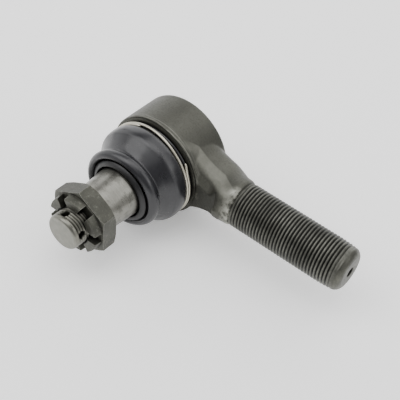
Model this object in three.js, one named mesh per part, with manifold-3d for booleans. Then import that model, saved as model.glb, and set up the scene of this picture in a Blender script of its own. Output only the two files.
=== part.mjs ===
// Tie rod end. Frame: origin at the centre of the ball, +X along the threaded shank,
// -Y along the stud to its tip, +Z up. All lengths in millimetres.
import * as THREE from 'three';
import { mergeVertices } from 'three/addons/utils/BufferGeometryUtils.js';
import Module from 'manifold-3d';

const wasm = await Module();
wasm.setup();

// ---- driving dimensions ("T" values are distances from the ball centre towards the stud tip) ----
const GAP = 0.3;
const SEG = 36;
const SEG_HEAD = 60;

const BALL_R = 17.5;
const BALL_FLAT_T = -12.5;
const STUD_NECK_R = 12.0;
const STUD_SEAT_R = 16.3;
const TAPER_START_T = 42.0;
const TAPER_END_T = 64.6;
const TAPER_END_R = 14.65;
const STUD_THREAD_R = 11.11;
const STUD_THREAD_START_T = 66.6;
const STUD_RELIEF_R = 10.2;
const STUD_TIP_T = 89.2;
const STUD_TIP_R = 10.2;
const COTTER_HOLE_R = 2.0;
const COTTER_HOLE_T = 83.5;

const NUT_FACE_T = 65.3;
const NUT_SHOULDER_T = 75.8;
const NUT_TOP_T = 80.9;
const NUT_ACROSS_FLATS = 38.1;
const NUT_CROWN_R = 18.2;
const NUT_COUNTERSINK_R = 15.2;
const NUT_SLOT_WIDTH = 6.4;
const NUT_SLOT_FLOOR_T = 76.2;
const NUT_CHAMFER_R = 19.3;
const NUT_CHAMFER_SLOPE = 0.93;

const HEAD_R = 33.4;
const HEAD_BACK_T = -18.9;
const HEAD_FRONT_T = 12.0;
const BOSS_R = 27.0;
const FACING_R = 48.0;
const BOSS_FRONT_T = 19.0;
const SEAT_BORE_R = 22.9;
const SEAT_SHOULDER_T = 8.6;
const MOUTH_R = 20.8;
const COVER_BORE_R = 24.9;
const COVER_LEDGE_T = -17.0;
const RIM_R = 27.2;
const RIM_END_T = -20.6;
const RIM_LIP_R = 22.9;

const SHANK_R = 14.2875;
const SHANK_THREAD_START_X = 60.0;
const SHANK_THREAD_END_X = 124.0;
const SHANK_END_X = 135.0;
const CENTRE_HOLE_R = 2.6;

const RING_WIRE_R = 0.95;
const RING_CENTRE_R = 30.6;
const RING_T = 15.4;

// ---- helpers ----
function toManifold(geometry) {
  const bare = new THREE.BufferGeometry();
  bare.setAttribute('position', geometry.getAttribute('position').clone());
  if (geometry.index) bare.setIndex(geometry.index.clone());
  const merged = mergeVertices(bare, 1e-5);
  const pos = merged.getAttribute('position').array;
  const index = merged.index.array;
  const keep = [];
  let volume = 0;
  for (let i = 0; i < index.length; i += 3) {
    const [a, b, c] = [index[i], index[i + 1], index[i + 2]];
    if (a === b || b === c || a === c) continue;
    keep.push(a, b, c);
    const va = new THREE.Vector3().fromArray(pos, a * 3);
    const vb = new THREE.Vector3().fromArray(pos, b * 3);
    const vc = new THREE.Vector3().fromArray(pos, c * 3);
    volume += va.dot(vb.cross(vc));
  }
  if (volume < 0) {
    for (let i = 0; i < keep.length; i += 3) {
      const swap = keep[i + 1];
      keep[i + 1] = keep[i + 2];
      keep[i + 2] = swap;
    }
  }
  const mesh = new wasm.Mesh({
    numProp: 3,
    vertProperties: Float32Array.from(pos),
    triVerts: Uint32Array.from(keep),
  });
  return new wasm.Manifold(mesh);
}

// A body of revolution about the stud axis. The profile is a list of [T, radius].
function turned(profile, segments = SEG) {
  const points = profile.map(([t, r]) => new THREE.Vector2(r, -t));
  return toManifold(new THREE.LatheGeometry(points, segments));
}

// A closed ring of revolution about the stud axis.
function turnedRing(profile, segments = SEG) {
  return turned([...profile, profile[0]], segments);
}

// A body of revolution about the shank axis. The profile is a list of [x, radius].
function turnedShank(profile, segments = SEG) {
  const points = profile.map(([x, r]) => new THREE.Vector2(r, x));
  const geometry = new THREE.LatheGeometry(points, segments);
  geometry.rotateZ(-Math.PI / 2);
  return toManifold(geometry);
}

function roundedSection(x, yBack, yFront, halfHeight, corner, perCorner = 5) {
  const corners = [
    [yBack - corner, halfHeight - corner, 0],
    [yFront + corner, halfHeight - corner, Math.PI / 2],
    [yFront + corner, corner - halfHeight, Math.PI],
    [yBack - corner, corner - halfHeight, 1.5 * Math.PI],
  ];
  const ring = [];
  for (const [cy, cz, start] of corners) {
    for (let i = 0; i <= perCorner; i += 1) {
      const a = start + (i / perCorner) * (Math.PI / 2);
      ring.push([x, cy + corner * Math.cos(a), cz + corner * Math.sin(a)]);
    }
  }
  return ring;
}

function loft(rings) {
  const count = rings[0].length;
  const positions = rings.flat(2);
  const index = [];
  for (let j = 0; j + 1 < rings.length; j += 1) {
    for (let i = 0; i < count; i += 1) {
      const a = j * count + i;
      const b = j * count + ((i + 1) % count);
      index.push(a, b, b + count, a, b + count, a + count);
    }
  }
  const last = (rings.length - 1) * count;
  for (let i = 1; i + 1 < count; i += 1) {
    index.push(0, i + 1, i);
    index.push(last, last + i, last + i + 1);
  }
  const geometry = new THREE.BufferGeometry();
  geometry.setAttribute('position', new THREE.Float32BufferAttribute(positions, 3));
  geometry.setIndex(index);
  return toManifold(geometry);
}

function sphereArc(radius, tFrom, tTo, steps) {
  const points = [];
  const from = Math.acos(THREE.MathUtils.clamp(tFrom / radius, -1, 1));
  const to = Math.acos(THREE.MathUtils.clamp(tTo / radius, -1, 1));
  for (let i = 0; i <= steps; i += 1) {
    const a = from + ((to - from) * i) / steps;
    points.push([radius * Math.cos(a), radius * Math.sin(a)]);
  }
  return points;
}

const group = new THREE.Group();
group.name = 'tie_rod_end';

function addNode(name, solid, color, roughness, metalness) {
  const mesh = solid.getMesh();
  const geometry = new THREE.BufferGeometry();
  geometry.setAttribute('position', new THREE.Float32BufferAttribute(mesh.vertProperties, 3));
  geometry.setIndex(Array.from(mesh.triVerts));
  geometry.computeVertexNormals();
  const material = new THREE.MeshStandardMaterial({ color, roughness, metalness });
  material.name = `${name}_material`;
  const node = new THREE.Mesh(geometry, material);
  node.name = name;
  group.add(node);
}

// ---- housing: forged head, neck and threaded shank in one piece ----
const headShell = turned([
  [RIM_END_T, 0],
  [RIM_END_T, RIM_R - 0.8],
  [RIM_END_T + 0.8, RIM_R],
  [HEAD_BACK_T, RIM_R],
  [HEAD_BACK_T, HEAD_R - 2.0],
  [HEAD_BACK_T + 0.6, HEAD_R - 0.6],
  [HEAD_BACK_T + 2.0, HEAD_R],
  [HEAD_FRONT_T - 1.5, HEAD_R],
  [HEAD_FRONT_T, HEAD_R - 1.5],
  [HEAD_FRONT_T, BOSS_R],
  [BOSS_FRONT_T - 0.8, BOSS_R],
  [BOSS_FRONT_T, BOSS_R - 0.8],
  [BOSS_FRONT_T, 0],
], SEG_HEAD);
const neck = loft([
  roundedSection(12, 18.6, -13.3, 27.0, 12.0),
  roundedSection(22, 18.6, -13.3, 24.0, 12.0),
  roundedSection(27, 18.6, -13.3, 21.0, 12.0),
  roundedSection(31, 18.6, -13.3, 18.6, 12.0),
  roundedSection(37, 18.6, -13.3, 16.0, 11.0),
  roundedSection(44, 18.2, -13.4, 14.3, 10.5),
  roundedSection(49.5, 17.2, -14.2, 14.3, 12.0),
  roundedSection(52.5, 15.9, -14.9, 14.9, 13.8),
  roundedSection(54.5, 15.1, -15.1, 15.1, 15.0),
  roundedSection(57.5, 15.0, -15.0, 15.0, 14.9),
  roundedSection(59.0, 13.4, -13.4, 13.4, 13.3),
]);
const facing = turnedRing([
  [HEAD_FRONT_T, BOSS_R],
  [HEAD_FRONT_T, FACING_R - 0.8],
  [HEAD_FRONT_T + 1.5, FACING_R + 0.4],
  [HEAD_FRONT_T + 8.0, FACING_R + 0.4],
  [HEAD_FRONT_T + 8.0, BOSS_R],
], 96);
const shank = turnedShank([
  [50, 0],
  [50, 13.2],
  [SHANK_THREAD_START_X - 0.6, 13.2],
  [SHANK_THREAD_START_X + 0.6, SHANK_R],
  [SHANK_THREAD_END_X, SHANK_R],
  [SHANK_THREAD_END_X + 0.5, 13.9],
  [129.5, 13.9],
  [131.6, 13.4],
  [133.2, 12.5],
  [134.4, 11.2],
  [SHANK_END_X, 9.6],
  [SHANK_END_X, CENTRE_HOLE_R],
  [SHANK_END_X - 4.5, 0],
]);
const innerBore = turned([
  [RIM_END_T - 1, 0],
  [RIM_END_T - 1, RIM_LIP_R],
  [-19.2, RIM_LIP_R],
  [-19.2, COVER_BORE_R],
  [COVER_LEDGE_T, COVER_BORE_R],
  [COVER_LEDGE_T, SEAT_BORE_R],
  [SEAT_SHOULDER_T, SEAT_BORE_R],
  [SEAT_SHOULDER_T, MOUTH_R],
  [BOSS_FRONT_T - 1.2, MOUTH_R],
  [BOSS_FRONT_T + 1, MOUTH_R + 2.2],
  [BOSS_FRONT_T + 1, 0],
], SEG_HEAD);
const forging = headShell.add(neck).subtract(facing);
const housing = forging.add(shank).subtract(innerBore);
addNode('housing', housing, 0x5d5e56, 0.5, 0.75);

// ---- ball stud: ball, neck, boot seat, 1:8 taper and threaded end with two cross holes ----
const ballToNeck = Math.sqrt(BALL_R ** 2 - STUD_NECK_R ** 2);
const studBody = turned([
  [BALL_FLAT_T, 0],
  ...sphereArc(BALL_R, BALL_FLAT_T, ballToNeck, 16),
  [ballToNeck + 2.0, STUD_NECK_R],
  [24.0, STUD_NECK_R],
  [27.5, 13.2],
  [30.0, 15.2],
  [31.5, STUD_SEAT_R],
  [TAPER_START_T, STUD_SEAT_R],
  [TAPER_START_T + 0.6, STUD_SEAT_R - 0.2],
  [TAPER_END_T, TAPER_END_R],
  [TAPER_END_T, STUD_RELIEF_R],
  [STUD_THREAD_START_T, STUD_RELIEF_R],
  [STUD_THREAD_START_T + 1.0, STUD_THREAD_R],
  [STUD_TIP_T - 1.0, STUD_THREAD_R],
  [STUD_TIP_T, STUD_TIP_R],
  [STUD_TIP_T, 0],
]);
const holeLength = 4 * STUD_THREAD_R;
const holeAlongZ = new THREE.CylinderGeometry(COTTER_HOLE_R, COTTER_HOLE_R, holeLength, 16);
holeAlongZ.rotateX(Math.PI / 2);
const crossHoles = [-13, 77].map((degrees) => {
  const hole = holeAlongZ.clone();
  hole.rotateY(THREE.MathUtils.degToRad(degrees));
  hole.translate(0, -COTTER_HOLE_T, 0);
  return toManifold(hole);
});
addNode('ball_stud', studBody.subtract(crossHoles[0]).subtract(crossHoles[1]), 0x9a998f, 0.38, 0.85);

// ---- castle nut: hexagon, round crown and six slots ----
const hexRadius = NUT_ACROSS_FLATS / 2 / Math.cos(Math.PI / 6);
const hexPrism = new THREE.CylinderGeometry(hexRadius, hexRadius, 40, 6);
hexPrism.translate(0, -NUT_FACE_T, 0);
const chamferReach = (hexRadius + 1 - NUT_CHAMFER_R) * NUT_CHAMFER_SLOPE;
const hexEnvelope = turned([
  [NUT_FACE_T, 0],
  [NUT_FACE_T, NUT_CHAMFER_R],
  [NUT_FACE_T + chamferReach, hexRadius + 1],
  [NUT_SHOULDER_T - 0.8, hexRadius + 1],
  [NUT_SHOULDER_T, NUT_CHAMFER_R + 1.2],
  [NUT_SHOULDER_T, 0],
]);
const crown = turned([
  [NUT_SHOULDER_T - 2, 0],
  [NUT_SHOULDER_T - 2, NUT_CROWN_R],
  [NUT_TOP_T - 1.0, NUT_CROWN_R],
  [NUT_TOP_T, NUT_CROWN_R - 1.0],
  [NUT_TOP_T, 0],
]);
const nutBore = turned([
  [NUT_FACE_T - 1, 0],
  [NUT_FACE_T - 1, NUT_COUNTERSINK_R],
  [NUT_FACE_T, NUT_COUNTERSINK_R],
  [NUT_FACE_T + 2.5, STUD_THREAD_R + GAP],
  [NUT_TOP_T + 1, STUD_THREAD_R + GAP],
  [NUT_TOP_T + 1, 0],
]);
let nut = toManifold(hexPrism).intersect(hexEnvelope).add(crown).subtract(nutBore);
for (let i = 0; i < 3; i += 1) {
  const slot = new THREE.BoxGeometry(60, 10, NUT_SLOT_WIDTH);
  slot.translate(0, -NUT_SLOT_FLOOR_T - 5, 0);
  slot.rotateY((i * Math.PI) / 3);
  nut = nut.subtract(toManifold(slot));
}
addNode('castle_nut', nut, 0x55564f, 0.45, 0.75);

// ---- dust boot and its two rings ----
const dustBoot = turnedRing([
  [12.3, 27.3],
  [12.3, 29.3],
  [13.2, 29.7],
  [13.6, 29.35],
  [17.2, 29.35],
  [17.8, 30.4],
  [20.0, 31.3],
  [23.0, 31.2],
  [26.0, 30.1],
  [29.0, 28.1],
  [31.6, 25.7],
  [33.4, 24.1],
  [34.8, 23.5],
  [36.0, 23.9],
  [37.2, 24.8],
  [39.2, 25.0],
  [41.0, 24.2],
  [42.5, 22.6],
  [43.4, 20.6],
  [43.6, 18.9],
  [34.2, 18.9],
  [33.4, 20.4],
  [31.6, 22.4],
  [28.8, 24.7],
  [25.6, 27.0],
  [22.6, 28.2],
  [20.4, 28.3],
  [19.4, 27.3],
], 36);
addNode('dust_boot', dustBoot, 0x2c2c31, 0.35, 0.0);

const lipInsert = turnedRing([
  [33.6, 16.7],
  [33.6, 18.6],
  [43.4, 18.6],
  [43.4, 17.2],
  [42.6, 16.7],
]);
addNode('boot_lip_insert', lipInsert, 0x3b3b3e, 0.5, 0.3);

const clampRing = turnedRing([
  [RING_T - 1.8, RING_CENTRE_R - 0.5],
  [RING_T - 1.8, RING_CENTRE_R + 0.5],
  [RING_T - 1.3, RING_CENTRE_R + RING_WIRE_R],
  [RING_T - 0.5, RING_CENTRE_R + RING_WIRE_R],
  [RING_T, RING_CENTRE_R + 0.5],
  [RING_T + 0.5, RING_CENTRE_R + RING_WIRE_R],
  [RING_T + 1.3, RING_CENTRE_R + RING_WIRE_R],
  [RING_T + 1.8, RING_CENTRE_R + 0.5],
  [RING_T + 1.8, RING_CENTRE_R - 0.5],
  [RING_T + 1.3, RING_CENTRE_R - RING_WIRE_R],
  [RING_T - 1.3, RING_CENTRE_R - RING_WIRE_R],
], 48);
addNode('boot_clamp_ring', clampRing, 0xb0aa9c, 0.3, 0.9);

// ---- ball seats, preload pieces and cover ----
const seatR = BALL_R + GAP;
const seatOuterR = SEAT_BORE_R - GAP;
const frontSeat = turnedRing([
  [GAP / 2, seatOuterR],
  [SEAT_SHOULDER_T - GAP, seatOuterR],
  [SEAT_SHOULDER_T - GAP, 17.6],
  [7.2, 16.28],
  ...sphereArc(seatR, 7.2, GAP / 2, 8),
]);
addNode('front_ball_seat', frontSeat, 0x8a6a3a, 0.45, 0.4);

const rearSeat = turnedRing([
  [-GAP / 2, seatOuterR],
  ...sphereArc(seatR, -GAP / 2, -13.4, 12),
  [-13.4, seatOuterR],
]);
addNode('rear_ball_seat', rearSeat, 0x8a6a3a, 0.45, 0.4);

const pressureRing = turnedRing([
  [-13.7, 13.4],
  [-13.7, 22.4],
  [-14.7, 22.4],
  [-14.7, 13.4],
]);
addNode('pressure_ring', pressureRing, 0x8c8c86, 0.35, 0.9);

const discSpring = turnedRing([
  [-15.0, 21.6],
  [-16.1, 21.9],
  [-17.0, 14.6],
  [-15.9, 14.3],
]);
addNode('disc_spring', discSpring, 0x4a4c52, 0.35, 0.9);

const COVER_T = -17.3;
const coverPlate = turned([
  [-22.6, 2.9],
  [-22.6, 9.5],
  [-21.6, 12.4],
  [-19.6, 15.2],
  [-18.8, 17.0],
  [-18.8, 24.5],
  [COVER_T, 24.5],
  [COVER_T, 16.2],
  [-18.2, 14.4],
  [-20.2, 11.6],
  [-21.0, 9.2],
  [-21.0, 2.9],
  [-22.6, 2.9],
]);
addNode('cover_plate', coverPlate, 0x63645c, 0.5, 0.75);

const fittingBody = turnedRing([
  [-20.6, 1.3],
  [-20.6, 2.6],
  [-22.9, 2.6],
  [-22.9, 4.0],
  [-26.4, 4.0],
  [-26.4, 2.4],
  [-28.4, 2.2],
  [-29.6, 3.2],
  [-31.2, 3.2],
  [-32.4, 1.9],
  [-32.4, 0.8],
  [-31.9, 0.8],
  [-31.2, 1.5],
  [-22.6, 1.5],
  [-22.0, 1.0],
  [-20.6, 1.0],
], 16);
addNode('grease_fitting_body', fittingBody, 0xa89a6c, 0.35, 0.9);

const fittingBall = turned(sphereArc(1.1, -1.1, 1.1, 6), 12).translate([0, 30.5, 0]);
addNode('grease_fitting_ball', fittingBall, 0xb8b8b4, 0.2, 1.0);

class Helix extends THREE.Curve {
  constructor(radius, pitch, turns, start) {
    super();
    this.radius = radius;
    this.pitch = pitch;
    this.turns = turns;
    this.start = start;
  }

  getPoint(u, target = new THREE.Vector3()) {
    const a = 2 * Math.PI * this.turns * u;
    const y = this.start + this.pitch * this.turns * u;
    return target.set(this.radius * Math.cos(a), y, this.radius * Math.sin(a));
  }
}
const springWire = new THREE.Shape();
for (let i = 0; i < 6; i += 1) {
  const a = (2 * Math.PI * i) / 6;
  const method = i === 0 ? 'moveTo' : 'lineTo';
  springWire[method](0.22 * Math.cos(a), 0.22 * Math.sin(a));
}
springWire.closePath();
const checkSpring = new THREE.ExtrudeGeometry(springWire, {
  steps: 48,
  extrudePath: new Helix(0.85, 1.1, 5, 23.1),
  bevelEnabled: false,
});
addNode('grease_fitting_spring', toManifold(checkSpring), 0x9a9a96, 0.3, 1.0);

export default group;
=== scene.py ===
import math

import bmesh
import bpy
import numpy as np
from mathutils import Matrix, Vector


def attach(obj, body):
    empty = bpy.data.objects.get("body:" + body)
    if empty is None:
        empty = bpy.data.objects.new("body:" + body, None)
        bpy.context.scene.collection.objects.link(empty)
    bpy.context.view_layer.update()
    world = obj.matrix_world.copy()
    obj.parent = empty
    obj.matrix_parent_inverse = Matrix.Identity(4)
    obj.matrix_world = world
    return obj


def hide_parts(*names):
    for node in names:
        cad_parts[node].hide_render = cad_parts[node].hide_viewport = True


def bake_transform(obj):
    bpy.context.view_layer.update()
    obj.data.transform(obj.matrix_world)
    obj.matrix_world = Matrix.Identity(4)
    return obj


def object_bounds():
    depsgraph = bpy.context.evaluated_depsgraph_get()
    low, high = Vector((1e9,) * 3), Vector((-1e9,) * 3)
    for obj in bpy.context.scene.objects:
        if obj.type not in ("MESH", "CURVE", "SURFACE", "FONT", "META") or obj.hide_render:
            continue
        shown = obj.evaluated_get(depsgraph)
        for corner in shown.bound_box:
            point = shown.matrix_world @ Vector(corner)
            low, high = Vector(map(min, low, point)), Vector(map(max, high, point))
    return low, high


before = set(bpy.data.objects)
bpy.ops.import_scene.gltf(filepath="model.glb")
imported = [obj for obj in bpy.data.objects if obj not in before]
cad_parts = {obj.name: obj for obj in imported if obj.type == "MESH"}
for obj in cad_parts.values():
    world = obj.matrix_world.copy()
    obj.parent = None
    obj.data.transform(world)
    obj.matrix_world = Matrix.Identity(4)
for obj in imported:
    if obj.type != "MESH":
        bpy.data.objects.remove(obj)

start_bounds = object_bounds()
MM = 0.001
TAU = 2 * math.pi

# ---------------------------------------------------------------- dimensions, mm
# t runs along the stud, from the ball's centre to the tip; x runs along the shank
HEAD_R = 33.4
HEAD_BACK = -18.9
HEAD_FRONT = 12.0
BOSS_R = 27.0
BORE_R = 22.9
COVER_SEAT_R = 24.9
RECESS_R = 27.4
MOUTH_R = 20.8
FACING_R = 48.4
DRAFT = 0.07  # radians
SHANK_R = 14.2875
SHANK_PITCH = 25.4 / 12
SHANK_THREAD = (59.4, 131.4)
BALL_R = 17.5
CONE = ((42.6, 16.1), (64.2, 14.7))
STUD_R = 11.11
STUD_PITCH = 25.4 / 14
STUD_THREAD = (66.4, 87.4)
STUD_TIP = 89.2
NUT_FACE = 65.3
NUT_SHOULDER = 75.8
NUT_TOP = 80.9
NUT_FLATS = 38.1
SLOT_WIDTH = 6.4
SLOT_FLOOR = 76.2
COTTER_T = 83.5
COTTER_R = 2.0
COTTER_ANGLES = (13, 103)
LIP_LEAN = 1.7
WIRE_R = 0.86
CLAMP_R = 30.55
CLAMP_T = 14.60
CLAMP_SPACING = 1.66
ALBEDO = 0.55  # colours are written as they look in the studio light, which takes white past paper white
FLOOR_X = 0.05  # metres; the floor and the lights are centred here


# ---------------------------------------------------------------- mesh helpers
def new_object(name, verts, faces, smooth=True):
    mesh = bpy.data.meshes.new(name)
    mesh.from_pydata([tuple(v) for v in verts], [], [tuple(f) for f in faces])
    mesh.validate()
    mesh.update()
    obj = bpy.data.objects.new(name, mesh)
    bpy.context.scene.collection.objects.link(obj)
    if smooth:
        mesh.polygons.foreach_set("use_smooth", [True] * len(mesh.polygons))
    return obj


def clean(obj, merge=2e-6):
    bm = bmesh.new()
    bm.from_mesh(obj.data)
    bmesh.ops.remove_doubles(bm, verts=bm.verts, dist=merge)
    bmesh.ops.dissolve_degenerate(bm, dist=1e-7, edges=bm.edges)
    loose = [v for v in bm.verts if not v.link_faces]
    bmesh.ops.delete(bm, geom=loose, context="VERTS")
    bmesh.ops.recalc_face_normals(bm, faces=bm.faces)
    bm.to_mesh(obj.data)
    bm.free()
    obj.data.update()
    return obj


def rows_to_object(name, rows, closed=False, helix=None):
    """Joins neighbouring rings of points, given in mm, and caps the ends unless closed.

    helix is the first and last row of a thread. A thread row ends one pitch further on,
    so it closes onto the row that lies one pitch later.
    """
    n = len(rows[0])
    verts = np.concatenate(rows) * MM
    faces = []
    count = len(rows)
    last = count if closed else count - 1
    ring = np.arange(n)
    nxt = np.roll(ring, -1)
    closing = np.arange(count)
    if helix is not None:
        first, final = helix
        closing[first:final + 1] = np.minimum(closing[first:final + 1] + len(THREAD_SHAPE), final)
    for j in range(last):
        a = j * n
        b = ((j + 1) % count) * n
        quads = np.stack([a + ring, a + nxt, b + nxt, b + ring], 1)
        quads[-1, 1] = closing[j] * n
        quads[-1, 2] = closing[(j + 1) % count] * n
        faces.extend(quads.tolist())
    if not closed:
        faces.append(list(ring[::-1]))
        faces.append(list((count - 1) * n + ring))
    return clean(new_object(name, verts, faces))


def stud_ring(t, r, n, theta=None):
    theta = np.arange(n) * TAU / n if theta is None else theta
    t = np.broadcast_to(t, theta.shape)
    return np.stack([r * np.cos(theta), -t, r * np.sin(theta)], 1)


def shank_ring(x, r, n):
    theta = np.arange(n) * TAU / n
    x = np.broadcast_to(x, theta.shape)
    return np.stack([x, r * np.cos(theta), r * np.sin(theta)], 1)


def rounded(profile, radius=0.4, steps=4):
    """Rounds the inner corners of an open profile. Its two ends stay sharp."""
    p = [np.array(q, float) for q in profile]
    out = [p[0]]
    for i in range(1, len(p) - 1):
        a, b, c = p[i - 1], p[i], p[i + 1]
        la, lc = np.linalg.norm(a - b), np.linalg.norm(c - b)
        d = min(radius, 0.45 * la, 0.45 * lc)
        if d < 1e-4:
            out.append(b)
            continue
        s, e = b + (a - b) * d / la, b + (c - b) * d / lc
        for k in range(steps + 1):
            u = k / steps
            out.append((1 - u) ** 2 * s + 2 * u * (1 - u) * b + u * u * e)
    out.append(p[-1])
    return out


def curved(profile, per=5, closed=False):
    """Catmull-Rom curve through a profile, with per steps between neighbouring points."""
    p = np.array(profile, float)
    n = len(p)
    out = []
    spans = n if closed else n - 1
    for i in range(spans):
        if closed:
            q = [p[(i + k) % n] for k in (-1, 0, 1, 2)]
        else:
            q = [p[max(i - 1, 0)], p[i], p[i + 1], p[min(i + 2, n - 1)]]
        for k in range(per):
            u = k / per
            out.append(0.5 * ((2 * q[1]) + (q[2] - q[0]) * u
                              + (2 * q[0] - 5 * q[1] + 4 * q[2] - q[3]) * u * u
                              + (3 * q[1] - q[0] - 3 * q[2] + q[3]) * u ** 3))
    if not closed:
        out.append(p[-1])
    return out


def turned(name, profile, n=160, closed=False):
    """Turns a (t, radius) profile about the stud's axis."""
    rows = [stud_ring(t, r, n) for t, r in profile]
    return rows_to_object(name, rows, closed=closed)


# the shank's outline, as (x, radius)
NOSE = [
    (50, 14.29), (121, 14.29), (127, 14.05), (131, 13.55),
    (132.4, 13.1), (133.6, 12.2), (134.5, 11.0), (135.0, 9.4),
]
# one turn of thread, as (place in the pitch, height over the root)
THREAD_SHAPE = [
    (-0.5, 0.0), (-0.46, 0.0), (-0.4, 0.08), (-0.13, 0.95), (-0.08, 1.0),
    (0.08, 1.0), (0.13, 0.95), (0.4, 0.08), (0.46, 0.0),
]
RUN_IN_SLOPE = 1.1


def thread_rows(span, major, pitch, depth, ramp_in, ramp_out, n, ring, floor_in=None, envelope=None):
    """Rows of a right-hand thread between two planes.

    The rows follow the helix; outside the planes they collapse onto them.
    """
    start, end = span
    theta = np.arange(n) * TAU / n
    rows = []
    turns = int((end - start) / pitch) + 3
    for k in range(-2, turns + 1):
        for u, h in THREAD_SHAPE:
            x = start + (k + u) * pitch + pitch * theta / TAU
            cx = np.clip(x, start, end)
            grow = np.clip((cx - start) / ramp_in, 0, 1)
            fade = np.clip((end - cx) / ramp_out, 0, 1)
            top = major if envelope is None else np.interp(cx, *zip(*envelope))
            root = top - depth * grow * fade
            r = root + (top - root) * h
            if floor_in is not None:
                r = np.minimum(r, floor_in + (cx - start) * RUN_IN_SLOPE)
            rows.append(ring(cx, r, n))
    return rows


def apply_modifiers(obj):
    bpy.context.view_layer.update()
    graph = bpy.context.evaluated_depsgraph_get()
    mesh = bpy.data.meshes.new_from_object(obj.evaluated_get(graph))
    old = obj.data
    obj.modifiers.clear()
    obj.data = mesh
    bpy.data.meshes.remove(old)
    return obj


def boolean(obj, tool, operation="DIFFERENCE"):
    m = obj.modifiers.new("cut", "BOOLEAN")
    m.operation = operation
    m.solver = "EXACT"
    m.object = tool
    apply_modifiers(obj)
    bpy.data.objects.remove(tool, do_unlink=True)
    return obj


def box_object(name, low, high):
    x0, y0, z0 = low
    x1, y1, z1 = high
    verts = [(x0, y0, z0), (x1, y0, z0), (x1, y1, z0), (x0, y1, z0)]
    verts += [(x, y, z1) for x, y, z in verts]
    verts = [tuple(c * MM for c in v) for v in verts]
    faces = [(3, 2, 1, 0), (4, 5, 6, 7), (0, 1, 5, 4), (1, 2, 6, 5), (2, 3, 7, 6), (3, 0, 4, 7)]
    return new_object(name, verts, faces, smooth=False)


def shade_auto(obj, degrees=35):
    mesh = obj.data
    mesh.polygons.foreach_set("use_smooth", [True] * len(mesh.polygons))
    bm = bmesh.new()
    bm.from_mesh(mesh)
    limit = math.radians(degrees)
    for e in bm.edges:
        if len(e.link_faces) == 2:
            e.smooth = e.calc_face_angle(0.0) < limit
    bm.to_mesh(mesh)
    bm.free()
    mesh.update()
    return obj


def join(objs, name):
    bm = bmesh.new()
    for o in objs:
        bm.from_mesh(o.data)
    mesh = bpy.data.meshes.new(name)
    bm.to_mesh(mesh)
    bm.free()
    for o in objs:
        bpy.data.objects.remove(o, do_unlink=True)
    out = bpy.data.objects.new(name, mesh)
    bpy.context.scene.collection.objects.link(out)
    return out


# ---------------------------------------------------------------- material helpers
def lin(c):
    """A display colour as the linear colour that this studio light needs."""
    return [ALBEDO * (((v + 0.055) / 1.055) ** 2.4 if v > 0.04045 else v / 12.92) for v in c]


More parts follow.
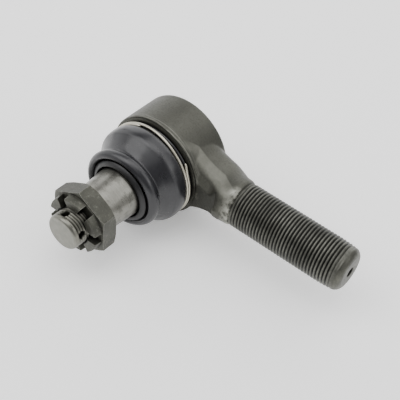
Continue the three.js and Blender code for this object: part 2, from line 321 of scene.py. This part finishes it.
class Mat:
    """A small builder for node materials in object space. Object coordinates are metres."""

    def __init__(self, name):
        self.m = bpy.data.materials.new(name)
        self.m.use_nodes = True
        self.t = self.m.node_tree
        self.b = self.t.nodes["Principled BSDF"]
        self.co = self.node("ShaderNodeTexCoord").outputs["Object"]

    def node(self, kind, **props):
        n = self.t.nodes.new(kind)
        for k, v in props.items():
            setattr(n, k, v)
        return n

    def link(self, a, b):
        if isinstance(a, (int, float)):
            b.default_value = a
        elif isinstance(a, (list, tuple)):
            b.default_value = list(a) + [1.0] * (len(b.default_value) - len(a))
        else:
            self.t.links.new(a, b)

    def noise(self, scale, detail, rough, stretch=None):
        n = self.node("ShaderNodeTexNoise")
        n.inputs["Scale"].default_value = scale
        n.inputs["Detail"].default_value = detail
        n.inputs["Roughness"].default_value = rough
        co = self.co
        if stretch is not None:
            m = self.node("ShaderNodeMapping")
            m.inputs["Scale"].default_value = stretch
            self.link(co, m.inputs["Vector"])
            co = m.outputs["Vector"]
        self.link(co, n.inputs["Vector"])
        return n.outputs["Fac"]

    def math(self, op, a, b=0.0):
        n = self.node("ShaderNodeMath", operation=op)
        self.link(a, n.inputs[0])
        self.link(b, n.inputs[1])
        return n.outputs[0]

    def product(self, first, *others):
        for other in others:
            first = self.math("MULTIPLY", first, other)
        return first

    def ramp(self, fac, low, high, out_low=0.0, out_high=1.0):
        n = self.node("ShaderNodeMapRange", clamp=True)
        self.link(fac, n.inputs["Value"])
        n.inputs["From Min"].default_value = low
        n.inputs["From Max"].default_value = high
        n.inputs["To Min"].default_value = out_low
        n.inputs["To Max"].default_value = out_high
        return n.outputs["Result"]

    def mix(self, fac, a, b):
        n = self.node("ShaderNodeMix", data_type="RGBA")
        self.link(fac, n.inputs["Factor"])
        self.link(a, n.inputs[6])
        self.link(b, n.inputs[7])
        return n.outputs[2]

    def axis(self, index):
        n = self.node("ShaderNodeSeparateXYZ")
        self.link(self.co, n.inputs[0])
        return n.outputs[index]

    def radius(self, i, j):
        """Distance from the axis normal to the plane of components i and j, in mm."""
        a, b = self.axis(i), self.axis(j)
        s = self.math("ADD", self.math("MULTIPLY", a, a), self.math("MULTIPLY", b, b))
        return self.math("MULTIPLY", self.math("SQRT", s), 1000.0)

    def bump(self, height, distance, strength):
        n = self.node("ShaderNodeBump")
        n.inputs["Strength"].default_value = strength
        n.inputs["Distance"].default_value = distance
        self.link(height, n.inputs["Height"])
        return n.outputs["Normal"]

    def occlusion_shade(self, distance):
        """Painted shade: 0.9 deep in slots and narrow gaps, 0 on open surfaces."""
        n = self.node("ShaderNodeAmbientOcclusion", samples=8)
        n.inputs["Distance"].default_value = distance
        return self.ramp(n.outputs["AO"], 0.25, 0.7, 0.9, 0.0)

    def edge_wear(self, radius):
        """1 on sharp edges, from the difference between the bevelled and the true normal."""
        bevel = self.node("ShaderNodeBevel", samples=4)
        bevel.inputs["Radius"].default_value = radius
        geo = self.node("ShaderNodeNewGeometry")
        d = self.node("ShaderNodeVectorMath", operation="DOT_PRODUCT")
        self.link(bevel.outputs["Normal"], d.inputs[0])
        self.link(geo.outputs["Normal"], d.inputs[1])
        inv = self.math("SUBTRACT", 1.0, d.outputs["Value"])
        return self.ramp(inv, 0.03, 0.25)

    def out(self, color, rough, metal=0.0, normal=None, coat=0.0, coat_rough=0.1):
        self.link(color, self.b.inputs["Base Color"])
        self.link(rough, self.b.inputs["Roughness"])
        self.link(metal, self.b.inputs["Metallic"])
        if normal is not None:
            self.link(normal, self.b.inputs["Normal"])
        if coat:
            self.b.inputs["Coat Weight"].default_value = coat
            self.b.inputs["Coat Roughness"].default_value = coat_rough
        return self.m


def set_material(obj, material):
    obj.data.materials.clear()
    obj.data.materials.append(material)


def forged_steel():
    m = Mat("forged_steel")
    x = m.math("MULTIPLY", m.axis(0), 1000.0)
    t = m.math("MULTIPLY", m.axis(1), -1000.0)
    r = m.radius(1, 2)
    swing = m.radius(0, 2)
    broad = m.noise(55, 5, 0.55)
    fine = m.noise(900, 4, 0.6)
    base = m.mix(m.ramp(broad, 0.3, 0.7), lin([0.375, 0.375, 0.345]), lin([0.435, 0.435, 0.40]))
    base = m.mix(m.ramp(fine, 0.45, 0.75, 0, 0.35), base, lin([0.28, 0.28, 0.255]))
    # painted highlight along the corner between the top of the neck and its front
    toward_thread = m.math("MULTIPLY", m.math("SUBTRACT", x, 45.0), 0.6)
    shift = m.math("MAXIMUM", toward_thread, m.math("SUBTRACT", 24.0, x))
    across = m.math("SUBTRACT", t, m.math("MAXIMUM", shift, 0.0))
    band = m.math("MULTIPLY", m.ramp(across, -0.5, 0.4), m.ramp(across, 5.0, 8.5, 1, 0))
    along = m.math("MULTIPLY", m.ramp(x, 17, 23), m.ramp(x, 56, 59.5, 1, 0))
    ridge_highlight = m.product(band, along, m.ramp(m.noise(240, 4, 0.6), 0.3, 0.7, 0.55, 1.0))
    base = m.mix(ridge_highlight, base, lin([0.56, 0.56, 0.52]))
    # painted highlight: a bright patch on the run-out, just before the thread
    runout_highlight = m.math("MULTIPLY", m.ramp(x, 52.5, 58), m.ramp(x, 59.4, 60.2, 1, 0))
    runout_highlight = m.product(runout_highlight, m.ramp(t, 2, 7), m.ramp(m.noise(330, 4, 0.65), 0.42, 0.6))
    base = m.mix(runout_highlight, base, lin([0.80, 0.80, 0.75]))
    # turned front face, darkened by painted shade, with fine tool marks
    front_face_shade = m.product(m.ramp(t, 10.7, 10.9), m.ramp(swing, 32.0, 32.3), m.ramp(swing, 47.9, 48.3, 1, 0))
    marks = m.ramp(m.math("SINE", m.math("MULTIPLY", swing, 6.0)), -1, 1)
    base = m.mix(m.math("MULTIPLY", front_face_shade, m.ramp(marks, 0, 1, 0.35, 0.7)), base, lin([0.24, 0.24, 0.22]))
    # scuffs along the edge of the head
    edge = m.math("MULTIPLY", m.ramp(t, 6.5, 9.0), m.ramp(t, 11.0, 11.8, 1, 0))
    scuff = m.math("MULTIPLY", edge, m.ramp(m.noise(1.0, 5, 0.65, stretch=(70, 1100, 70)), 0.46, 0.62))
    scuff = m.math("MULTIPLY", scuff, m.ramp(swing, 34.0, 36.0, 1, 0))
    base = m.mix(m.math("MULTIPLY", scuff, 0.8), base, lin([0.62, 0.62, 0.58]))
    # thread: painted shade in the roots, crests lightened by wear and a painted highlight
    threaded = m.math("MULTIPLY", m.ramp(x, 58.8, 60.2), m.ramp(x, 131.2, 131.8, 1, 0))
    # the crests follow the nose inwards, so the fall in radius is added back
    taper = m.math("MULTIPLY", m.math("MAXIMUM", m.math("SUBTRACT", x, 121.0), 0.0), 0.072)
    crest = m.ramp(m.math("ADD", r, taper), 13.6, 14.22)
    patch = m.ramp(m.noise(70, 3, 0.6), 0.35, 0.65, 0.45, 1.0)
    crest_wear_and_highlight = m.product(crest, patch, m.ramp(m.noise(500, 3, 0.6), 0.3, 0.7, 0.6, 1.0))
    base = m.mix(threaded, base, m.mix(crest_wear_and_highlight, lin([0.17, 0.17, 0.155]), lin([0.60, 0.60, 0.56])))
    worn = m.math("MULTIPLY", m.ramp(x, 131.5, 132.5), m.ramp(m.noise(130, 4, 0.6), 0.45, 0.62, 0.1, 1.0))
    base = m.mix(worn, base, lin([0.50, 0.50, 0.46]))
    # painted shade in gaps and in the centre hole
    centre_hole_shade = m.product(m.ramp(r, 3.1, 3.4, 1, 0), m.ramp(x, 134.6, 134.9, 1, 0), m.ramp(x, 60, 61))
    base = m.mix(m.math("MAXIMUM", m.occlusion_shade(0.003), centre_hole_shade), base, lin([0.06, 0.06, 0.055]))
    rough = m.ramp(fine, 0.3, 0.7, 0.38, 0.54)
    h = m.math("ADD", m.math("MULTIPLY", m.noise(1400, 3, 0.6), 0.4), m.noise(330, 4, 0.55))
    normal = m.bump(h, 0.00010, 0.5)
    return m.out(base, rough, 0.78, normal)


def machined_steel(name, dark, light, axis_scale, rough_low, rough_high, metal=0.9):
    m = Mat(name)
    turning = m.noise(1.0, 3, 0.7, stretch=axis_scale)
    blotch = m.noise(90, 4, 0.6)
    base = m.mix(m.ramp(blotch, 0.3, 0.7), lin(dark), lin(light))
    base = m.mix(m.ramp(turning, 0.35, 0.75, 0, 0.3), base, lin([v * 0.8 for v in dark]))
    rough = m.ramp(turning, 0.3, 0.7, rough_low, rough_high)
    normal = m.bump(turning, 0.00003, 0.5)
    return m.out(base, rough, metal, normal)


def stud_steel():
    m = Mat("stud_steel")
    y = m.axis(1)
    r = m.radius(0, 2)
    turning = m.noise(1.0, 2, 0.7, stretch=(60, 5200, 60))
    blotch = m.noise(120, 4, 0.6)
    cone = m.mix(m.ramp(blotch, 0.3, 0.7), lin([0.66, 0.655, 0.62]), lin([0.74, 0.735, 0.70]))
    cone = m.mix(m.ramp(turning, 0.4, 0.75, 0, 0.35), cone, lin([0.50, 0.495, 0.46]))
    cone = m.mix(m.ramp(m.noise(200, 5, 0.7), 0.5, 0.62, 0, 0.5), cone, lin([0.42, 0.42, 0.39]))
    # thread: painted shade darkens the roots against the lighter crests
    is_thread = m.ramp(y, -0.0655, -0.0665)
    crest = m.ramp(r, 10.0, 11.0)
    thread = m.mix(crest, lin([0.27, 0.27, 0.25]), lin([0.60, 0.595, 0.555]))
    tip = m.ramp(y, -0.0880, -0.0886)
    tip_blotch = m.ramp(m.noise(260, 4, 0.6), 0.35, 0.7)
    tip_colour = m.mix(tip_blotch, lin([0.60, 0.60, 0.56]), lin([0.68, 0.675, 0.635]))
    base = m.mix(is_thread, cone, thread)
    base = m.mix(tip, base, tip_colour)
    # painted shade in the cotter holes, thread roots and narrow gaps
    base = m.mix(m.occlusion_shade(0.003), base, lin([0.07, 0.07, 0.06]))
    rough = m.ramp(turning, 0.3, 0.7, 0.26, 0.38)
    normal = m.bump(turning, 0.00002, 0.5)
    return m.out(base, rough, 0.88, normal)


def nut_steel():
    m = Mat("nut_steel")
    blotch = m.noise(140, 5, 0.6)
    fine = m.noise(1200, 4, 0.6)
    base = m.mix(m.ramp(blotch, 0.3, 0.7), lin([0.34, 0.34, 0.31]), lin([0.42, 0.42, 0.385]))
    base = m.mix(m.ramp(fine, 0.5, 0.8, 0, 0.3), base, lin([0.24, 0.24, 0.22]))
    wear = m.math("MULTIPLY", m.edge_wear(0.0008), m.ramp(m.noise(420, 4, 0.6), 0.35, 0.7, 0.3, 1.0))
    base = m.mix(wear, base, lin([0.70, 0.70, 0.66]))
    base = m.mix(m.ramp(m.noise(380, 5, 0.7), 0.56, 0.66, 0, 0.55), base, lin([0.58, 0.58, 0.54]))
    # painted shade in the slots, the bore and narrow gaps
    base = m.mix(m.occlusion_shade(0.006), base, lin([0.05, 0.05, 0.045]))
    rough = m.ramp(fine, 0.3, 0.7, 0.38, 0.52)
    normal = m.bump(m.noise(700, 4, 0.6), 0.00006, 0.5)
    return m.out(base, rough, 0.75, normal)


def rubber(name, colour, rough_low, rough_high, coat=0.0):
    m = Mat(name)
    blotch = m.noise(45, 4, 0.55)
    fine = m.noise(1500, 3, 0.6)
    dust = m.noise(160, 5, 0.65)
    base = m.mix(m.ramp(blotch, 0.3, 0.7), lin([v * 0.9 for v in colour]), lin([v * 1.1 for v in colour]))
    base = m.mix(m.ramp(dust, 0.55, 0.85, 0, 0.25), base, lin([0.30, 0.30, 0.32]))
    # painted shade in the folds and narrow gaps
    base = m.mix(m.occlusion_shade(0.004), base, lin([0.02, 0.02, 0.02]))
    rough = m.ramp(dust, 0.3, 0.7, rough_low, rough_high)
    h = m.math("ADD", m.math("MULTIPLY", fine, 0.3), m.noise(60, 3, 0.5))
    normal = m.bump(h, 0.0002, 0.25)
    return m.out(base, rough, 0.0, normal, coat=coat, coat_rough=0.18)


def plated(name, dark, light, rough_low=0.2, rough_high=0.34):
    m = Mat(name)
    fine = m.noise(500, 4, 0.6)
    broad = m.noise(60, 3, 0.5)
    base = m.mix(m.ramp(broad, 0.3, 0.7), lin(dark), lin(light))
    rough = m.ramp(fine, 0.3, 0.7, rough_low, rough_high)
    normal = m.bump(fine, 0.00002, 0.4)
    return m.out(base, rough, 0.9, normal)


# ---------------------------------------------------------------- housing
NECK = [  # x, back, front, half height, corner radius
    (10, 18.6, 13.3, 29.0, 12.0),
    (16, 18.6, 13.3, 27.5, 12.0),
    (22, 18.6, 13.3, 24.3, 12.0),
    (27, 18.6, 13.3, 21.2, 12.0),
    (31, 18.6, 13.3, 18.8, 12.0),
    (37, 18.6, 13.3, 16.1, 11.0),
    (44, 18.2, 13.4, 14.4, 10.5),
    (49.5, 17.2, 14.2, 14.4, 12.0),
    (52.5, 15.9, 14.9, 14.9, 13.8),
    (54.5, 15.1, 15.1, 15.1, 15.0),
    (57.6, 15.1, 15.1, 15.1, 15.0),
]


def half_section(back, front, half, corner, ridged):
    """Upper half of a neck section, from the back to the front.

    The dies part at y = 0, where a ridged half has a crease.
    """
    corner = min(corner, half - 0.01, back - 0.6)
    top = half - DRAFT * (back - corner)
    points = []
    for a in np.linspace(0, math.pi / 2 - DRAFT, 22):
        points.append((back - corner + corner * math.cos(a), top - corner + corner * math.sin(a)))
    start = points[-1]
    for u in np.linspace(0.1, 1, 10):
        points.append((start[0] * (1 - u), start[1] * (1 - u) + half * u))
    if ridged:
        lean, steep, bend, run = math.radians(17), math.radians(74), 5.0, 5.8
    else:
        lean, steep, bend = 0.0, math.pi / 2, min(12.0, half - 0.1)
        run = front - bend
    knee = (-run, half - run * math.tan(lean))
    for u in np.linspace(0.125, 1, 8):
        points.append((knee[0] * u, half + (knee[1] - half) * u))
    for a in np.linspace(lean, steep, 17)[1:]:
        points.append((
            knee[0] + bend * (math.sin(lean) - math.sin(a)),
            knee[1] - bend * (math.cos(lean) - math.cos(a))))
    end = points[-1]
    foot = max(0.0, end[1] - (front + end[0]) * math.tan(steep)) if ridged else 0.0
    toe = -front if foot > 0 or not ridged else end[0] - end[1] / math.tan(steep)
    for u in np.linspace(0.2, 1, 5):
        points.append((end[0] + (toe - end[0]) * u, end[1] + (foot - end[1]) * u))
    for u in np.linspace(0.25, 1, 4):
        points.append((toe, foot * (1 - u)))
    return np.array(points)


def neck_section(x, back, front, half, corner):
    """A whole neck section, which turns from the forged shape into a round bar towards the thread."""
    count = 65
    parting = math.radians(124)
    angles = np.concatenate([np.linspace(0, parting, 32), np.linspace(parting, math.pi, count - 31)[1:]])
    bar = np.stack([back * np.cos(angles), half * np.sin(angles)], 1)
    w = np.clip((x - 41.0) / 16.0, 0, 1)
    w = w * w * (3 - 2 * w)
    upper = half_section(back, front, half, corner, True) * (1 - w) + bar * w
    lower = half_section(back, front, half, corner, False) * (1 - w) + bar * w
    loop = np.concatenate([upper, lower[-2:0:-1] * np.array([1, -1])])
    return np.stack([np.full(len(loop), x), loop[:, 0], loop[:, 1]], 1)


def make_neck():
    table = np.array(NECK, float)
    xs = np.arange(10, 57.7, 0.8)
    dense = np.stack([np.interp(xs, table[:, 0], table[:, k]) for k in range(1, 5)], 1)
    kernel = np.array([1, 2, 3, 4, 3, 2, 1], float)
    kernel /= kernel.sum()
    padded = np.pad(dense, ((3, 3), (0, 0)), mode="edge")
    dense = np.stack([np.convolve(padded[:, k], kernel, "valid") for k in range(4)], 1)
    rows = [neck_section(x, *sizes) for x, sizes in zip(xs, dense)]
    rows.append(shank_ring(58.3, 14.6, len(rows[0])))
    rows.append(shank_ring(59.2, 13.7, len(rows[0])))
    return rows_to_object("neck", rows)


def make_forging():
    """Head and neck as one skin, with the front face turned and the bore cut."""
    neck = make_neck()
    front = HEAD_FRONT + 0.01
    head_profile = rounded([(HEAD_BACK, 0.5), (HEAD_BACK, HEAD_R), (front, HEAD_R), (front, 0.5)], 1.7, 5)
    head = turned("head", head_profile, 192)
    body = join([head, neck], "housing_forging")
    remesh = body.modifiers.new("remesh", "REMESH")
    remesh.mode = "VOXEL"
    remesh.voxel_size = 0.55 * MM
    remesh.adaptivity = 0.0
    smooth = body.modifiers.new("smooth", "SMOOTH")
    smooth.factor = 0.5
    smooth.iterations = 8
    apply_modifiers(body)
    # turned front face, swung out over the root of the neck
    beyond = 30
    tool_profile = rounded([
        (HEAD_FRONT - 0.9, 32.7), (HEAD_FRONT - 0.9, FACING_R - 1.0), (HEAD_FRONT + 1.4, FACING_R),
        (beyond, FACING_R), (beyond, 32.7)], 0.5, 3)
    boolean(body, turned("facing_outer", tool_profile, 192, closed=True))
    step_profile = [
        (HEAD_FRONT - 0.2, BOSS_R), (HEAD_FRONT - 0.2, 33.2), (beyond, 33.2), (beyond, BOSS_R)]
    boolean(body, turned("facing_inner", step_profile, 192, closed=True))
    # back recess for the cover, ball bore and mouth
    bore_profile = [
        (-beyond, 0.5), (-beyond, RECESS_R), (-18.4, RECESS_R), (-18.4, COVER_SEAT_R), (-17, COVER_SEAT_R),
        (-17, BORE_R), (8.6, BORE_R), (8.6, MOUTH_R), (beyond, MOUTH_R), (beyond, 0.5)]
    boolean(body, turned("bore", bore_profile, 192))
    return shade_auto(body, 32)


def make_shank():
    """Run-out, thread, rounded nose and centre hole."""
    n = 144
    rows = [shank_ring(50, 13.2, n), shank_ring(57.8, 13.5, n), shank_ring(58.6, 13.9, n)]
    thread_start = len(rows)
    rows += thread_rows(
        SHANK_THREAD, SHANK_R, SHANK_PITCH, 1.0, 3.0, 4.0, n, shank_ring, floor_in=13.4, envelope=NOSE)
    helix = (thread_start, len(rows) - 1)
    nose = rounded([(131.45, 13.45), *NOSE[4:], (135.0, 3.3), (134.2, 2.7), (130.4, 0.4)], 0.5, 4)
    rows += [shank_ring(x, r, n) for x, r in nose]
    return shade_auto(rows_to_object("shank", rows, helix=helix), 50)


def make_housing():
    body = make_forging()
    rim = turned("rim", rounded([
        (-17.0, 24.95), (-19.0, 24.95), (-19.15, 23.1), (-19.9, 22.9), (-20.6, 23.6), (-20.6, 26.0),
        (-19.6, 27.2), (-18.0, 27.35), (-17.0, 27.35), (-17.0, 24.95)], 0.4, 4), 160)
    boss = turned("boss", rounded([
        (11.0, MOUTH_R), (11.0, 26.9), (18.2, 26.9), (19.0, 26.1), (19.0, 22.0), (18.0, MOUTH_R),
        (11.0, MOUTH_R)], 0.3, 3), 128)
    housing = join([body, rim, boss, make_shank()], "housing_shape")
    set_material(housing, forged_steel())
    return housing


# ---------------------------------------------------------------- ball stud
def make_stud():
    n = 144
    ball_back, ball_front = -12.5, 12.74
    ball = []
    for k in range(25):
        a = math.acos(ball_back / BALL_R) * (1 - k / 24) + math.acos(ball_front / BALL_R) * (k / 24)
        ball.append((BALL_R * math.cos(a), BALL_R * math.sin(a)))
    profile = [(ball_back, 0.5)] + ball + rounded([
        (14.8, 12.0), (24.0, 12.0), (27.5, 13.2), (30.0, 15.2), (31.5, 16.3), (42.0, 16.3), CONE[0]], 0.8, 4)
    (cone_start, wide), (cone_end, narrow) = CONE
    for k in range(1, 13):
        u = k / 12
        profile.append((cone_start + (cone_end - cone_start) * u, wide + (narrow - wide) * u))
    profile += rounded([(64.3, 14.68), (64.7, 14.3), (64.7, 10.3), (66.4, 10.2)], 0.2, 3)
    rows = [stud_ring(t, r, n) for t, r in profile]
    thread_start = len(rows)
    rows += thread_rows(STUD_THREAD, STUD_R, STUD_PITCH, 0.8, 1.0, 0.8, n, stud_ring, floor_in=10.1)
    helix = (thread_start, len(rows) - 1)
    tip = rounded([(87.6, 11.05), (88.5, 10.75), (STUD_TIP, 9.9), (STUD_TIP, 0.4)], 0.8, 4)
    rows += [stud_ring(t, r, n) for t, r in tip]
    stud = rows_to_object("ball_stud_shape", rows, helix=helix)
    # crossed cotter holes with countersunk mouths
    for degrees in COTTER_ANGLES:
        tool = turned("hole", [
            (-14, 0.2), (-14, 5.4), (-9.8, COTTER_R), (9.8, COTTER_R), (14, 5.4), (14, 0.2)], 48)
        direction = Vector((math.cos(math.radians(degrees)), 0, math.sin(math.radians(degrees))))
        turn = Vector((0, -1, 0)).rotation_difference(direction).to_matrix().to_4x4()
        tool.data.transform(turn)
        tool.data.transform(Matrix.Translation((0, -COTTER_T * MM, 0)))
        boolean(stud, tool)
    shade_auto(stud, 45)
    set_material(stud, stud_steel())
    return stud


# ---------------------------------------------------------------- castle nut
def make_nut():
    reach = 23.0  # past the hexagon's corners
    envelope = turned("nut_shape", [
        (NUT_FACE, 0.5), (NUT_FACE, 19.6), (NUT_FACE + (reach - 19.6) * 0.6, reach),
        (NUT_SHOULDER - 1.0, reach), (NUT_SHOULDER, 20.6), (NUT_SHOULDER, 0.5)], 240)
    r = NUT_FLATS / 2 / math.cos(math.pi / 6)
    hexagon = [stud_ring(t, r, 6, np.radians(30 + 60 * np.arange(6))) for t in (50, 95)]
    tool = rows_to_object("hexagon", hexagon)
    boolean(envelope, tool, "INTERSECT")
    crown = turned("crown", rounded([
        (NUT_SHOULDER - 1.5, 0.5), (NUT_SHOULDER - 1.5, 18.4), (NUT_SHOULDER + 0.1, 18.3),
        (NUT_TOP, 17.9), (NUT_TOP, 0.5)], 0.9, 5), 192)
    boolean(envelope, crown, "UNION")
    n = 96
    rows = [stud_ring(60, 15.2, n), stud_ring(NUT_FACE, 15.2, n), stud_ring(NUT_FACE + 2.6, 11.6, n)]
    thread_start = len(rows)
    span = (NUT_FACE + 2.7, NUT_TOP - 1.2)
    rows += thread_rows(span, STUD_R + 0.25, STUD_PITCH, 0.95, 0.8, 0.8, n, stud_ring)
    helix = (thread_start, len(rows) - 1)
    rows += [stud_ring(NUT_TOP - 1.1, 11.5, n), stud_ring(NUT_TOP, 12.4, n), stud_ring(NUT_TOP + 5, 12.4, n)]
    boolean(envelope, rows_to_object("nut_bore", rows, helix=helix))
    for k in range(3):
        slot = box_object("slot", (-40, -95, -SLOT_WIDTH / 2), (40, -SLOT_FLOOR, SLOT_WIDTH / 2))
        slot.data.transform(Matrix.Rotation(k * math.pi / 3, 4, "Y"))
        boolean(envelope, slot)
    shade_auto(envelope, 28)
    set_material(envelope, nut_steel())
    return envelope


# ---------------------------------------------------------------- boot, lip and clamp ring
def make_boot():
    outer = curved([
        (12.5, 28.6), (12.4, 29.8), (12.9, 30.5), (13.7, 30.3), (14.2, 29.6), (15.4, 29.45), (16.7, 29.7),
        (17.3, 30.5), (18.4, 31.2), (20.2, 31.5), (22.6, 31.5), (24.6, 31.2), (26.2, 30.5), (27.3, 29.6),
        (29.4, 27.9), (31.8, 26.0), (33.6, 24.8), (34.7, 24.3), (35.7, 24.5), (36.6, 25.3), (38.2, 25.9),
        (40.0, 25.8), (41.5, 25.0), (42.5, 23.7), (42.7, 22.5), (42.0, 21.6), (41.2, 21.0), (40.6, 20.2)], 6)
    inner = curved([
        (40.4, 18.95), (36.0, 18.95), (34.2, 19.6), (33.2, 21.0), (31.4, 22.9), (28.8, 25.1), (25.6, 27.3),
        (22.6, 28.4), (20.6, 28.3), (19.6, 27.5), (17.0, 27.35), (13.0, 27.4)], 4)
    boot = turned("dust_boot_shape", outer + inner, 176, closed=True)
    # the moulded lip doesn't sit quite square on the stud
    for v in boot.data.vertices:
        t = -v.co.y / MM
        r = math.hypot(v.co.x, v.co.z) / MM
        reach = min(max((t - 30.0) / 9.0, 0), 1) * min(max((r - 19.5) / 4.0, 0), 1)
        v.co.y += LIP_LEAN * reach * v.co.x / 25.0
    boot.data.update()
    set_material(boot, rubber("boot_rubber", [0.155, 0.155, 0.172], 0.24, 0.38, coat=0.15))
    return boot


def make_lip():
    lip = turned("boot_lip_shape", curved([
        (34.0, 16.9), (34.0, 18.5), (38.0, 18.7), (41.2, 18.75), (41.5, 20.2), (42.2, 20.4), (43.2, 19.6),
        (44.0, 18.4), (44.1, 17.5), (43.4, 17.1), (42.0, 16.9), (38.0, 16.8)],
        5, closed=True), 160, closed=True)
    set_material(lip, rubber("lip_rubber", [0.085, 0.085, 0.09], 0.36, 0.48))
    return lip


def make_ring():
    """Wire wound from one free end to the other, stepping sideways where the turns pass each other."""
    n = 14
    start, end = math.radians(38), math.radians(106 - 720)
    crossing = (start - math.radians(106 - 360)) / TAU
    steps = 420
    phi = np.arange(n) * TAU / n
    axial = np.array([0, -1, 0])
    rows = []
    for k in range(steps + 1):
        u = k / steps
        a = start + (end - start) * u
        turn = (start - a) / TAU
        side = min(max((turn - crossing) / (68 / 360), 0.0), 1.0)
        side = side * side * (3 - 2 * side)
        lift = max(0.0, 1 - u * steps / 9)  # the first free end stands up a little
        t = CLAMP_T + CLAMP_SPACING * side - 0.7 * lift
        r = CLAMP_R + 1.2 * lift
        radial = np.array([math.cos(a), 0, math.sin(a)])
        ends = min(1.0, 0.35 + u * steps / 3, 0.35 + (1 - u) * steps / 3)
        centre = radial * r + axial * t
        section = np.cos(phi)[:, None] * radial + np.sin(phi)[:, None] * axial
        rows.append(centre + WIRE_R * ends * section)
    ring = rows_to_object("boot_clamp_ring_shape", rows)
    set_material(ring, plated("ring_wire", [0.92, 0.90, 0.82], [1.0, 0.98, 0.91], 0.25, 0.4))
    return ring


pieces = [
    (make_housing(), "housing", "housing"),
    (make_stud(), "stud", "ball_stud"),
    (make_nut(), "nut", "castle_nut"),
    (make_lip(), "boot_neck", "boot_lip_insert"),
    (make_ring(), "housing", "boot_clamp_ring"),
]
for obj, body, node in pieces:
    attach(obj, body)
    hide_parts(node)
boot = make_boot()
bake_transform(boot)
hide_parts("dust_boot")

# ---------------------------------------------------------------- carried-over pieces
bearing = machined_steel("bearing_steel", [0.50, 0.46, 0.38], [0.60, 0.56, 0.48], (900, 900, 900), 0.25, 0.4)
plain = machined_steel("plain_steel", [0.56, 0.56, 0.53], [0.66, 0.66, 0.63], (300, 3000, 300), 0.25, 0.4)
spring = machined_steel("spring_steel", [0.26, 0.27, 0.30], [0.34, 0.35, 0.38], (700, 700, 700), 0.25, 0.4)
pressed = machined_steel(
    "cover_steel", [0.36, 0.36, 0.325], [0.44, 0.44, 0.40], (400, 400, 400), 0.42, 0.58, 0.6)
zinc = plated("yellow_zinc", [0.62, 0.55, 0.34], [0.74, 0.68, 0.48])
polished = plated("polished_steel", [0.75, 0.75, 0.74], [0.82, 0.82, 0.81], 0.08, 0.15)
for node, material in {
    "front_ball_seat": bearing, "rear_ball_seat": bearing, "pressure_ring": plain,
    "disc_spring": spring, "cover_plate": pressed, "grease_fitting_body": zinc,
    "grease_fitting_ball": polished, "grease_fitting_spring": plain,
}.items():
    set_material(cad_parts[node], material)

# ---------------------------------------------------------------- floor, light and camera
floor_z = start_bounds[0][2] - 0.0002
bm = bmesh.new()
bmesh.ops.create_grid(bm, x_segments=1, y_segments=1, size=3.0)
floor_mesh = bpy.data.meshes.new("floor")
bm.to_mesh(floor_mesh)
bm.free()
floor = bpy.data.objects.new("floor", floor_mesh)
floor.location = (FLOOR_X, 0, floor_z)
bpy.context.scene.collection.objects.link(floor)
fm = Mat("floor_white")
white = fm.mix(fm.noise(3.0, 2, 0.5), [0.93, 0.93, 0.93], [0.95, 0.95, 0.95])
fm.out(white, 0.8, 0.0)
fm.b.inputs["Emission Color"].default_value = (1, 1, 1, 1)
fm.b.inputs["Emission Strength"].default_value = 0.35
set_material(floor, fm.m)

world = bpy.data.worlds.new("studio")
bpy.context.scene.world = world
world.use_nodes = True
world.node_tree.nodes["Background"].inputs["Color"].default_value = (1, 1, 1, 1)
world.node_tree.nodes["Background"].inputs["Strength"].default_value = 0.26


def softbox(name, location, target, size, power):
    data = bpy.data.lights.new(name, "AREA")
    data.energy = power
    data.size = size
    light = bpy.data.objects.new(name, data)
    bpy.context.scene.collection.objects.link(light)
    light.location = location
    light.rotation_euler = (Vector(target) - Vector(location)).to_track_quat("-Z", "Y").to_euler()


# softboxes 1 m from the part: azimuth from +X, elevation, watts before POWER
POWER = 1.9
SOFTBOX_SIZE = 0.7
for azimuth, elevation, watts in [
    (0, 90, 2.2), (20, 45, 1.5), (90, 52, 1.3), (225, 52, 2.4), (270, 52, 0.8),
    (0, 20, 0.8), (90, 20, 1.5), (135, 20, 1.5), (180, 20, 1.2), (225, 20, 0.7),
]:
    a, e = math.radians(azimuth), math.radians(elevation)
    position = (FLOOR_X + math.cos(a) * math.cos(e), math.sin(a) * math.cos(e), math.sin(e))
    softbox("softbox_%d_%d" % (azimuth, elevation), position, (FLOOR_X, 0, 0), SOFTBOX_SIZE, watts * POWER)

# camera: angles in degrees, distances in mm, focal length in pixels of a 400-pixel image
AZ, EL, ROLL, DIST = 33.99, 45.32, 7.23, 508.35
FOCAL, SHIFT_X, SHIFT_Y = 820.17, -20.91, 27.12
IMAGE_WIDTH, SENSOR_WIDTH = 400, 36
a, e, r = (math.radians(v) for v in (AZ, EL, ROLL))
back = Vector((math.sin(a) * math.cos(e), -math.cos(a) * math.cos(e), math.sin(e)))
right = Vector((math.cos(a), math.sin(a), 0))
up = back.cross(right)
right, up = right * math.cos(r) + up * math.sin(r), up * math.cos(r) - right * math.sin(r)
camera_data = bpy.data.cameras.new("camera")
camera_data.sensor_width = SENSOR_WIDTH
camera_data.lens = FOCAL / IMAGE_WIDTH * SENSOR_WIDTH
camera_data.clip_start = 0.01
camera = bpy.data.objects.new("camera", camera_data)
bpy.context.scene.collection.objects.link(camera)
camera_place = Matrix.Translation((back * DIST - right * SHIFT_X - up * SHIFT_Y) * MM)
camera.matrix_world = camera_place @ Matrix((right, up, back)).transposed().to_4x4()
bpy.context.scene.camera = camera
